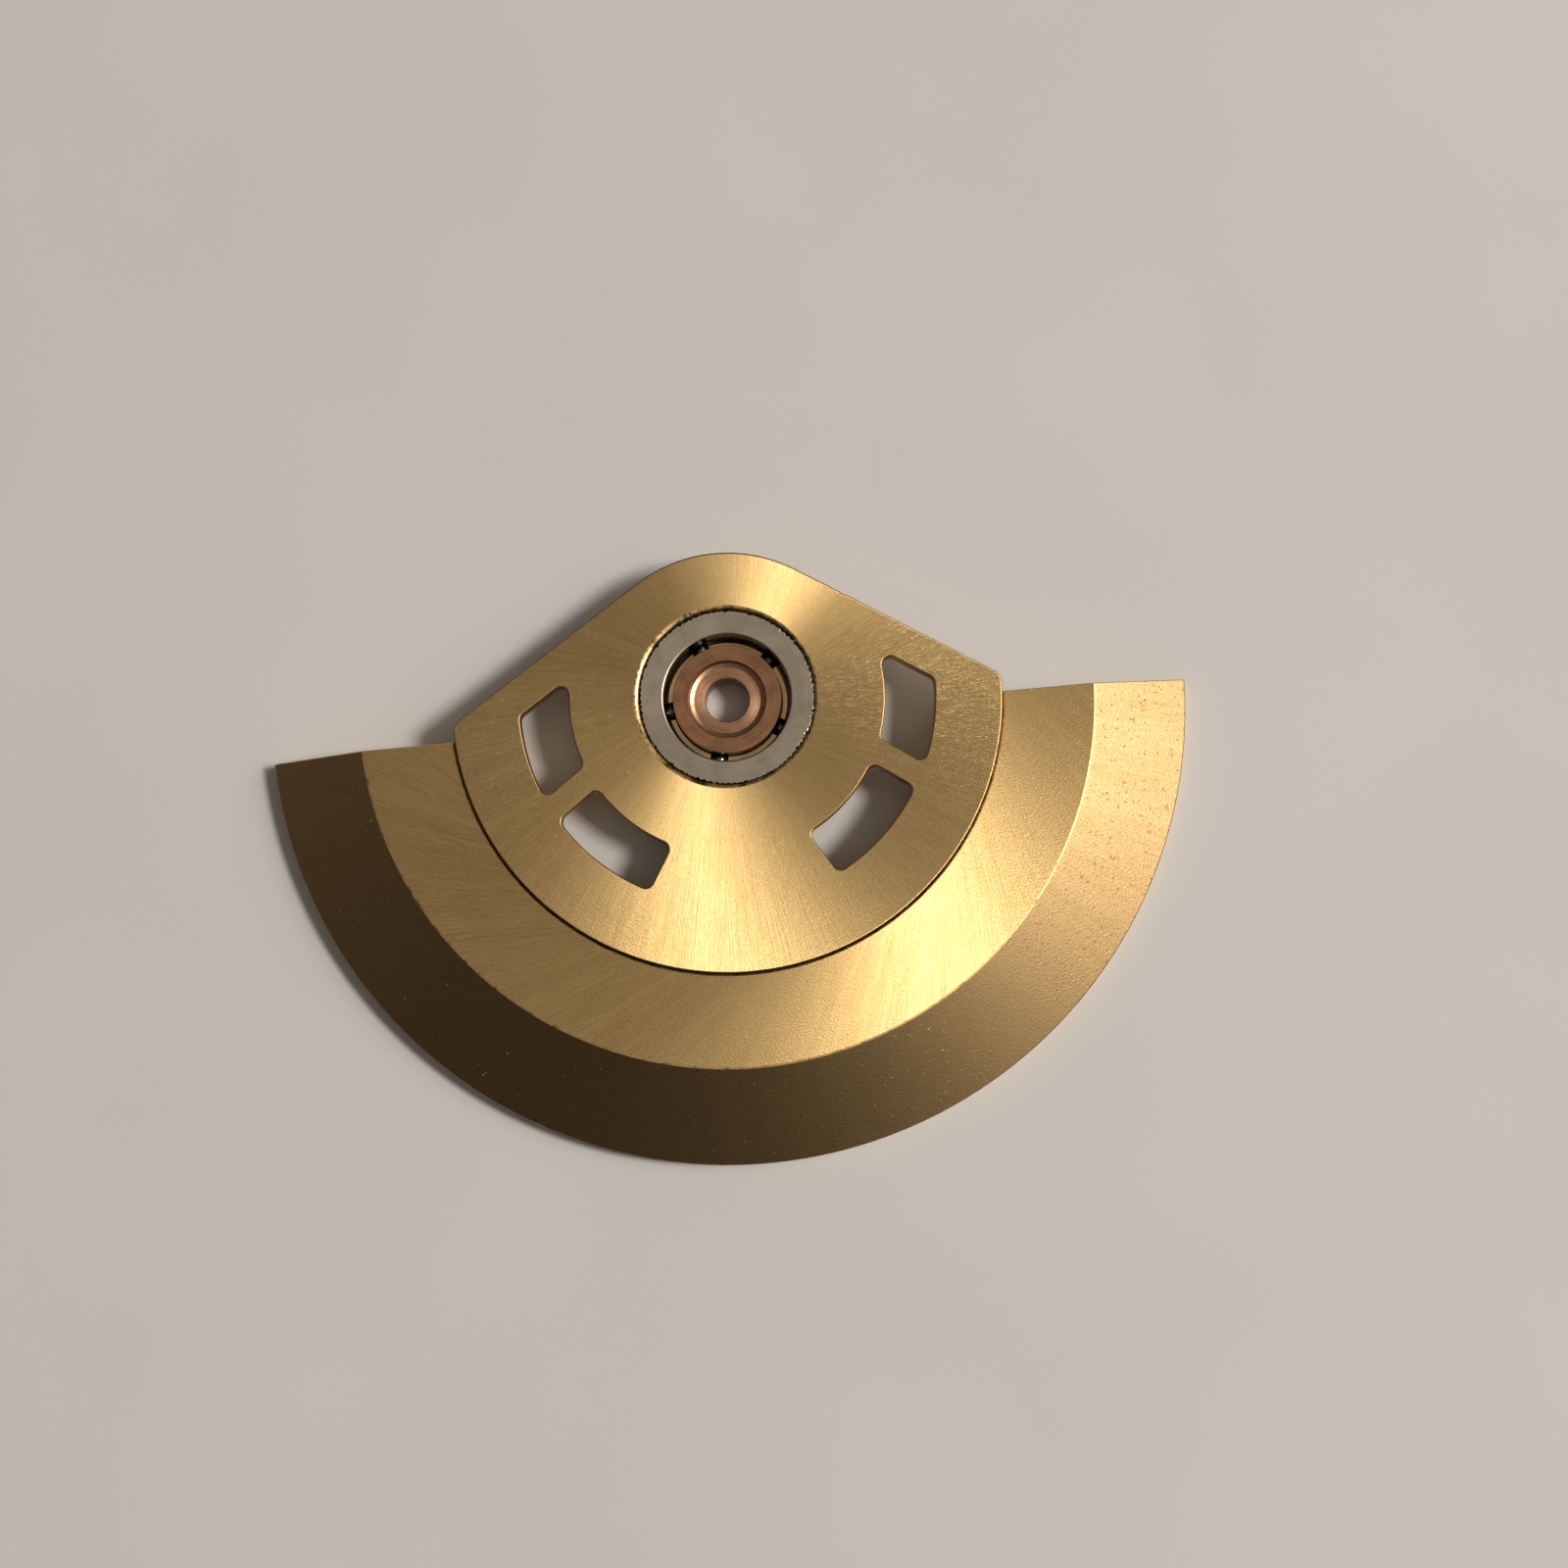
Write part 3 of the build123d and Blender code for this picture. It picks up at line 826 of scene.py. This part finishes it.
    def open_bore(self, plate, sizes, mouth, wall_top):
        """Draws the bore in to its radius below a wider rounded mouth, worn to one side."""
        limit = mouth + HAIR
        for step in range(-1, ROUND_STEPS):
            edge_in, edge_up = round_over(sizes.edge_break, max(step, 0))
            inward = round_over(sizes.bore_chamfer, max(step, 0))[0]
            upward = round_over(sizes.bore_drop, max(step, 0))[1]
            height = sizes.bottom if step < 0 else wall_top + edge_up
            pick(plate, "verts", lambda v: v.co.xy.length < limit and abs(v.co.z - height) < HAIR)
            share = (sizes.bore_radius + inward) / (mouth - sizes.edge_break + edge_in)
            stretch(share, share, 1)
            if step >= 0:
                worn = sizes.bore_worn * step / ROUND_STEPS
                rise = sizes.top - sizes.bore_drop + upward - height
                bpy.ops.transform.translate(value=(-worn, 0.6 * worn, rise))
        pick(plate, "verts",
             lambda v: v.co.xy.length < limit + 0.02 * MM and v.co.z > sizes.top - HAIR)
        bpy.ops.transform.translate(value=(-sizes.bore_worn, 0.6 * sizes.bore_worn, 0))


class ROTOR_OT_weight(bpy.types.Operator):
    """Model the half-ring weight with its land, bevel and flange"""

    bl_idname = "rotor.weight"
    bl_label = "Weight"

    def execute(self, context):
        sizes = context.scene.rotor_weight
        plate = context.scene.rotor_plate
        finish = context.scene.rotor_finish
        rim = math.hypot(sizes.half_span, sizes.end_offset)
        recess = plate.arc_radius + sizes.seam
        land = rim - sizes.bevel_share * (rim - recess)
        bottom = -sizes.bottom
        weight = start_piece("weight_segment_gilt")
        outline = [
            (sizes.flange_inner, sizes.flange_bottom), (sizes.flange_step, sizes.flange_bottom),
            (sizes.flange_step, bottom), (rim, bottom), (rim, bottom + sizes.rim_height),
            (land, sizes.land_top), (recess + sizes.seam_break, sizes.land_top),
            (recess, sizes.land_top - sizes.seam_break), (recess, plate.bottom),
            (sizes.flange_inner, plate.bottom),
        ]
        turn_outline(broken(outline, sizes.edge_break), 540)
        bpy.ops.mesh.bisect(plane_co=(0, 0, 0), plane_no=(0, 1, 0), use_fill=True,
                            clear_outer=True, threshold=1e-7)
        self.set_back(weight, sizes.end_offset)
        pick(weight, "edges",
             lambda edge: all(v.co.y > -sizes.end_offset - HAIR for v in edge.verts))
        bpy.ops.mesh.bevel(offset=sizes.edge_break, segments=1, affect="EDGES")
        seat = sizes.flange_bottom + SCREW_RECESS + sizes.screw_head_height
        cut_screw_holes(weight, sizes, sizes.screw_head + sizes.screw_play,
                        sizes.flange_bottom - MM, seat)
        cut_screw_holes(weight, sizes, sizes.screw_shank + sizes.screw_play,
                        sizes.flange_bottom, plate.bottom + MM)
        gilt = gilt_finish("gilt_land_brushed", finish, finish.land_lean, -1.0, 10.0,
                           contrast=1.15, grain=0.35)
        finish_piece(weight, "rotor", "weight_segment", gilt)
        # The bevel's gilding is dimmed to about three quarters: painted shade, so that its left
        # and lower side come out dark.
        bevel = gilt_finish("gilt_bevel_brushed", finish, 0, 1.0, 13.0, rough=-0.02,
                            brushed=-0.08, contrast=0.9, nicks=1.1, shine=(0.76, 0.74, 0.78),
                            clean=0.66, handled=0.08, grain=0.55)
        coat(weight, bevel, lambda face: out(face) > land)
        ridge = edge_finish("gilt_ridge", finish, 1.0, 0.46, worn=0.3)
        coat(weight, ridge, lambda face: 0.95 < face.normal.z < 0.995
             and abs(out(face) - land) < 2 * sizes.edge_break)
        # The seam's faces are dimmed to 0.42: painted shade for the dark line where the plate
        # stands above the land.
        seam = edge_finish("gilt_weight_edge", finish, 0.42, 0.4)
        coat(weight, seam, lambda face: face.normal.z < 0.97
             and out(face) < recess + 2 * sizes.seam_break and level(face) > plate.bottom - HAIR)
        # The rim's broken edge is dimmed to 0.4: painted shade, so that it shows no bright line on
        # its dark side.
        rim_edge = edge_finish("gilt_rim_edge", finish, 0.4, 0.45)
        coat(weight, rim_edge, lambda face: 0.05 < face.normal.z < 0.8
             and out(face) > rim - sizes.edge_break)
        return {"FINISHED"}

    def set_back(self, weight, offset):
        """Closes the half ring's ends up to the straight line that they are cut on."""
        shape = bmesh.from_edit_mesh(weight.data)
        for point in shape.verts:
            radius = point.co.xy.length
            back = math.asin(offset / radius)
            turn = -abs(math.atan2(point.co.y, point.co.x))
            point.co.x, point.co.y = on_circle(radius, -back + turn * (1 - 2 * back / math.pi))
        bmesh.update_edit_mesh(weight.data)


class ROTOR_OT_screws(bpy.types.Operator):
    """Model one slotted screw and copy it round the flange"""

    bl_idname = "rotor.screws"
    bl_label = "Screws"

    def execute(self, context):
        sizes = context.scene.rotor_weight
        plate = context.scene.rotor_plate
        finish = context.scene.rotor_finish
        bottom = sizes.flange_bottom + SCREW_RECESS
        shoulder = bottom + sizes.screw_head_height
        screw = start_piece("segment_screw")
        bpy.ops.mesh.primitive_cylinder_add(
            vertices=64, radius=sizes.screw_head, depth=sizes.screw_head_height,
            location=(0, 0, (bottom + shoulder) / 2))
        pick(screw, "faces", lambda face: face.normal.z > 0.9)
        bpy.ops.mesh.inset(thickness=sizes.screw_head - sizes.screw_shank, depth=0)
        extrude(0, 0, plate.top - SCREW_ROOF - shoulder)
        bpy.ops.mesh.select_mode(type="EDGE")
        bpy.ops.mesh.select_all(action="DESELECT")
        bpy.ops.mesh.edges_select_sharp(sharpness=math.radians(40))
        bpy.ops.mesh.bevel(offset=SCREW_BREAK, segments=2, affect="EDGES", clamp_overlap=True)
        slot = start_piece("slot")
        bpy.ops.mesh.primitive_cube_add(size=MM, location=(0, 0, bottom))
        stretch(3, sizes.screw_slot / MM, 2 * sizes.screw_slot_depth / MM, (0, 0, bottom))
        cut_away(screw, slot)
        steel = polished_finish("screw_steel_polished", finish.steel, finish.steel_shade, 0.22)
        finish_piece(screw, "rotor", "segment_screws", steel, smooth=30)
        screw.name = "segment_screw_1"
        screws = [screw]
        screws += [copy_of(screw, f"segment_screw_{n}") for n in range(2, SCREW_COUNT + 1)]
        for number, (x, y, turn) in enumerate(screw_places(sizes), start=1):
            open_whole(screws[number - 1])
            turn_left(turn + SLOT_TURN * number)
            bpy.ops.transform.translate(value=(x, y, 0))
        leave_edit_mode()
        return {"FINISHED"}


class ROTOR_OT_outer_ring(bpy.types.Operator):
    """Model the steel ring with its groove and knurled edge"""

    bl_idname = "rotor.outer_ring"
    bl_label = "Outer ring"

    def execute(self, context):
        sizes = context.scene.rotor_bearing
        finish = context.scene.rotor_finish
        chamfer = sizes.lip_chamfer
        edge, top = sizes.ring_radius, sizes.ring_top
        dished = top - sizes.ring_dish
        groove = groove_end(sizes, sizes.lip_radius)
        outline = [
            (sizes.lip_radius + chamfer, sizes.ring_bottom),
            (sizes.neck_radius, sizes.ring_bottom), (sizes.neck_radius, sizes.neck_top),
            (edge, sizes.neck_top), (edge, top - KNURL_LENGTH), (edge, top - RING_EDGE),
            (edge - 0.3 * RING_EDGE, top - 0.3 * RING_EDGE), (edge - RING_EDGE, top),
            (sizes.lip_radius + chamfer, dished),
            (sizes.lip_radius + 0.3 * chamfer, dished - 0.3 * chamfer),
            (sizes.lip_radius, top - chamfer),
            *groove_arc(sizes, groove, -groove),
            (sizes.lip_radius, sizes.ring_bottom + chamfer),
        ]
        ring = start_piece("bearing_ring_steel")
        turn_outline(outline, RING_STEPS)
        self.cut_knurls(ring, sizes)
        satin = turned_finish("ring_steel_satin", finish.steel, finish.steel_shade, 0.4,
                              density=10.0, depth=0.0006)
        finish_piece(ring, "rotor", "bearing_outer_ring", satin)
        # The lips, the groove and the hidden outer side get dark steel: painted shade deep in the
        # bearing.
        coat(ring, shadowed_finish("race_steel_oiled"),
             lambda face: not sizes.lip_radius + HAIR <= out(face) <= edge - 0.05 * MM)
        return {"FINISHED"}

    def cut_knurls(self, ring, sizes):
        """Draws the upper edge in at every notch, by depths that differ a little."""
        rim = sizes.ring_radius - RING_EDGE - HAIR
        foot = sizes.ring_top - KNURL_LENGTH - HAIR
        shape = bmesh.from_edit_mesh(ring.data)
        for point in shape.verts:
            if point.co.xy.length < rim or point.co.z < foot:
                continue
            step = round(math.atan2(point.co.y, point.co.x) / WHOLE_TURN * RING_STEPS)
            notch, place = divmod(step, len(NOTCH))
            wander = 0.6 + 0.4 * math.sin(2.399 * notch ** 2)
            inward = 1 - NOTCH[place] * wander * sizes.knurl_depth / sizes.ring_radius
            point.co.xy *= inward
        bmesh.update_edit_mesh(ring.data)


class ROTOR_OT_hub(bpy.types.Operator):
    """Model the copper-coloured hub with its counterbore"""

    bl_idname = "rotor.hub"
    bl_label = "Hub"

    def execute(self, context):
        sizes = context.scene.rotor_bearing
        finish = context.scene.rotor_finish
        groove = groove_end(sizes, sizes.disc_radius)
        groove_top = BALL_HEIGHT + sizes.groove_radius * math.sin(groove)
        floor = sizes.disc_top - sizes.dish_depth
        outline = [
            (sizes.hole_radius, 0), (sizes.post_radius, 0), (sizes.post_radius, BALL_HEIGHT),
            *groove_arc(sizes, math.pi, groove),
            (sizes.disc_radius, sizes.disc_top), (sizes.dish_radius, sizes.disc_top),
            (sizes.dish_radius - DISH_FOOT[0], floor + DISH_FOOT[1]),
            (sizes.dish_floor, floor), (sizes.hole_radius, floor),
        ]
        hub = start_piece("bearing_hub_copper")
        turn_outline(broken(outline, HUB_BREAK), 256)
        copper = turned_finish("copper_turned", finish.copper, finish.copper_shade, 0.3,
                               density=12.0, depth=0.0015)
        finish_piece(hub, "hub", "bearing_hub", copper)
        pale = turned_finish("copper_floor", tinted(finish.copper, (1.6, 1.8, 2.0)),
                             finish.copper, 0.36, brushed=0.6)
        coat(hub, pale,
             lambda face: face.normal.z > 0.99 and level(face) < sizes.disc_top - 0.01 * MM)
        cone = polished_finish("copper_cone", finish.cone, finish.copper, 0.31)
        coat(hub, cone, lambda face: face.normal.z < 0.99
             and sizes.dish_floor < out(face) < sizes.dish_radius)
        # The hub's groove and the lower race get the same dark steel: painted shade.
        shadowed = shadowed_finish("race_hub_oiled")
        coat(hub, shadowed, lambda face: face.normal.z < 0.9 and out(face) > sizes.post_radius
             and level(face) < groove_top)
        paint(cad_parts["bearing_lower_race"], shadowed)
        return {"FINISHED"}


class ROTOR_OT_cage(bpy.types.Operator):
    """Model the gilt cage with its five open pockets"""

    bl_idname = "rotor.cage"
    bl_label = "Ball cage"

    def execute(self, context):
        sizes = context.scene.rotor_bearing
        finish = context.scene.rotor_finish
        inner = sizes.disc_radius + sizes.cage_gap
        outer = sizes.lip_radius - sizes.cage_play - sizes.cage_edge
        low, high, middle = CAGE_LOW.z, CAGE_HIGH.z, sizes.pitch_radius
        cage = start_piece("ball_cage_gilt")
        outline = [(inner, low), (outer, low), (outer, high), (inner, high)]
        turn_outline(broken(outline, CAGE_BREAK), 320)
        for centre in BALL_CENTRES:
            turn = math.atan2(centre.y, centre.x)
            drill = start_piece("drill")
            bpy.ops.mesh.primitive_cylinder_add(
                vertices=48, radius=sizes.groove_radius, depth=2 * MM,
                location=(middle, 0, centre.z), rotation=(0, math.pi / 2, 0))
            turn_left(turn)
            cut_away(cage, drill)
            mouth = start_piece("mouth")
            bpy.ops.mesh.primitive_cube_add(size=MM, location=(middle, 0, centre.z + MM / 2))
            stretch(2, sizes.cage_mouth / MM, 1, (middle, 0, 0))
            turn_left(turn)
            cut_away(cage, mouth)
        satin = turned_finish("cage_gilt_satin", finish.cage, finish.gilt_shade, 0.3)
        finish_piece(cage, "cage", "ball_cage", satin, smooth=25)
        return {"FINISHED"}


class ROTOR_OT_balls(bpy.types.Operator):
    """Model one ball from a rounded cube and copy it into each pocket"""

    bl_idname = "rotor.balls"
    bl_label = "Balls"

    def execute(self, context):
        colour = context.scene.rotor_finish.ball
        # The dark colour is painted shade of the pockets; the glint comes from the lamp.
        steel = polished_finish("ball_steel_polished", colour, tinted(colour, 0.6), 0.16)
        pattern = start_piece("ball_pattern")
        bpy.ops.mesh.primitive_cube_add(size=2 * BALL_RADIUS, location=(0, 0, 0))
        bpy.ops.mesh.subdivide(number_cuts=15)
        only(pattern)
        cast = pattern.modifiers.new("Round", "CAST")
        cast.factor = 1.0
        cast.radius = 0
        cast.use_radius_as_size = False
        cast.size = BALL_RADIUS
        bpy.ops.object.modifier_apply(modifier=cast.name)
        for number, centre in enumerate(BALL_CENTRES, start=1):
            ball = copy_of(pattern, f"ball_{number}_steel")
            open_whole(ball)
            bpy.ops.transform.translate(value=centre)
            finish_piece(ball, f"ball_{number}", f"ball_{number}", steel, smooth=60)
        bpy.data.objects.remove(pattern)
        return {"FINISHED"}


class ROTOR_OT_wheel(bpy.types.Operator):
    """Give the toothed wheel under the plate its finish"""

    bl_idname = "rotor.wheel"
    bl_label = "Drive wheel"

    def execute(self, context):
        finish = context.scene.rotor_finish
        gilt = turned_finish("wheel_gilt_turned", finish.gilt, finish.gilt_shade, 0.36,
                             brushed=0.5)
        paint(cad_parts["drive_wheel"], gilt)
        return {"FINISHED"}


class ROTOR_OT_stage(bpy.types.Operator):
    """Lay the paper down, and set up the lamp, the sky and the camera"""

    bl_idname = "rotor.stage"
    bl_label = "Paper, lamp and camera"

    def execute(self, context):
        stage = context.scene.rotor_stage
        plate = context.scene.rotor_plate
        weight = context.scene.rotor_weight
        paper = start_piece("paper")
        bpy.ops.mesh.primitive_grid_add(
            x_subdivisions=8, y_subdivisions=8, size=PAPER_SIDE, location=(0, 0, -weight.bottom))
        leave_edit_mode()
        paint(paper, paper_finish(stage))
        self.hang_lamp(stage)
        self.paint_sky(context.scene, stage)
        self.aim_camera(context.scene, stage, plate)
        return {"FINISHED"}

    def towards(self, side, height, stage):
        """The direction of a point round the picture's middle and above the horizon."""
        x, y = on_circle(math.cos(height), side - stage.part_turn)
        return Vector((x, y, math.sin(height)))

    def hang_lamp(self, stage):
        """A round lamp to the picture's right."""
        towards = self.towards(stage.lamp_side, stage.lamp_height, stage)
        bpy.ops.object.light_add(type="AREA", location=towards * stage.lamp_distance)
        lamp = bpy.context.object
        lamp.name = "lamp"
        lamp.rotation_euler = towards.to_track_quat("Z", "Y").to_euler()
        lamp.data.shape = "DISK"
        lamp.data.size = stage.lamp_size
        lamp.data.energy = stage.lamp_power
        lamp.data.color = stage.lamp

    def paint_sky(self, scene, stage):
        """A soft dome, darker where the photographer stands, and the lamp's glow on it."""
        world = bpy.data.worlds.new("dome")
        scene.world = world
        world.use_nodes = True
        sky = Nodes(world.node_tree)
        view = sky.add("ShaderNodeTexCoord").outputs["Generated"]
        height = sky.add("ShaderNodeSeparateXYZ", {0: view}).outputs[2]
        photographer = self.towards(stage.photographer_side, 0, stage)
        shaded = sky.spread(self.facing(sky, view, photographer), 0.2, 0.6)
        dome = sky.blend(shaded, self.dome_ramp(sky, height, ROOM),
                         self.dome_ramp(sky, height, SHADE))
        lamp = self.towards(stage.glow_side, stage.glow_height, stage)
        ahead = sky.math("MAXIMUM", self.facing(sky, view, lamp))
        falloff = sky.math("POWER", ahead, GLOW_FALLOFF)
        glow = sky.add("ShaderNodeVectorMath",
                       {0: tinted(stage.lamp, stage.glow), "Scale": falloff}, operation="SCALE")
        both = sky.add("ShaderNodeMix", {0: 1.0, 6: dome, 7: glow.outputs[0]},
                       data_type="RGBA", blend_type="ADD", clamp_result=False)
        sky.put(sky.tree.nodes["Background"], "Color", both.outputs[2])

    def facing(self, sky, view, direction):
        """1 towards a direction, 0 square to it."""
        node = sky.add("ShaderNodeVectorMath", {0: view, 1: direction}, operation="DOT_PRODUCT")
        return node.outputs["Value"]

    def dome_ramp(self, sky, height, bands):
        """The sky's light by height, a little redder where it is dark."""
        ramp = sky.add("ShaderNodeValToRGB", {0: height})
        elements = ramp.color_ramp.elements
        for place, light in bands[1:-1]:
            elements.new(place)
        for element, (place, light) in zip(elements, bands):
            element.position = place
            tint = SKY_TINT if light > DARK_SKY else DARK_TINT
            element.color = (*tinted(tint, light), 1)
        return ramp.outputs[0]

    def aim_camera(self, scene, stage, plate):
        """The camera as it was held over the part."""
        tilt, yaw = stage.camera_tilt, stage.camera_yaw
        right = Vector((1, 0, 0))
        up = Vector((0, math.cos(tilt), math.sin(tilt)))
        back = Vector((0, -math.sin(tilt), math.cos(tilt)))
        side = math.cos(yaw) * right - math.sin(yaw) * back
        away = math.cos(yaw) * back + math.sin(yaw) * right
        held = Matrix((side, up, away)).transposed().to_4x4()
        held.translation = (
            stage.camera_right, -stage.camera_down, stage.camera_distance + plate.top)
        bpy.ops.object.camera_add()
        camera = bpy.context.object
        camera.name = "camera"
        camera.matrix_world = Matrix.Rotation(-stage.part_turn, 4, "Z") @ held
        camera.data.sensor_width = SENSOR
        camera.data.lens = SENSOR * stage.focal_share
        camera.data.clip_start = MM
        camera.data.clip_end = 10
        scene.camera = camera


class ROTOR_PT_panel(bpy.types.Panel):
    """The rotor's sizes and steps, in the 3D view's sidebar"""

    bl_idname = "ROTOR_PT_panel"
    bl_label = "Watch Rotor"
    bl_space_type = "VIEW_3D"
    bl_region_type = "UI"
    bl_category = "Rotor"

    def draw(self, context):
        for operator in STEPS:
            self.layout.operator(operator.bl_idname)
        for name, group in GROUPS.items():
            box = self.layout.box()
            box.label(text=group.__doc__)
            for key in group.__annotations__:
                box.prop(getattr(context.scene, name), key)


GROUPS = {
    "rotor_plate": RotorPlateSizes,
    "rotor_weight": RotorWeightSizes,
    "rotor_bearing": RotorBearingSizes,
    "rotor_finish": RotorFinish,
    "rotor_stage": RotorStage,
}
STEPS = [
    ROTOR_OT_plate, ROTOR_OT_weight, ROTOR_OT_screws, ROTOR_OT_outer_ring, ROTOR_OT_hub,
    ROTOR_OT_cage, ROTOR_OT_balls, ROTOR_OT_wheel, ROTOR_OT_stage,
]


def register():
    """Registers the groups, the operators and the panel."""
    for group in GROUPS.values():
        bpy.utils.register_class(group)
    for name, group in GROUPS.items():
        setattr(bpy.types.Scene, name, bpy.props.PointerProperty(type=group))
    for operator in STEPS:
        bpy.utils.register_class(operator)
    bpy.utils.register_class(ROTOR_PT_panel)


def unregister():
    """Takes them out again."""
    bpy.utils.unregister_class(ROTOR_PT_panel)
    for operator in reversed(STEPS):
        bpy.utils.unregister_class(operator)
    for name, group in reversed(list(GROUPS.items())):
        delattr(bpy.types.Scene, name)
        bpy.utils.unregister_class(group)


def main():
    """Builds every piece and the stage."""
    register()
    bpy.context.scene.view_settings.view_transform = "Standard"
    bpy.ops.rotor.plate()
    bpy.ops.rotor.weight()
    bpy.ops.rotor.screws()
    bpy.ops.rotor.outer_ring()
    bpy.ops.rotor.hub()
    bpy.ops.rotor.cage()
    bpy.ops.rotor.balls()
    bpy.ops.rotor.wheel()
    bpy.ops.rotor.stage()


if __name__ == "__main__":
    main()
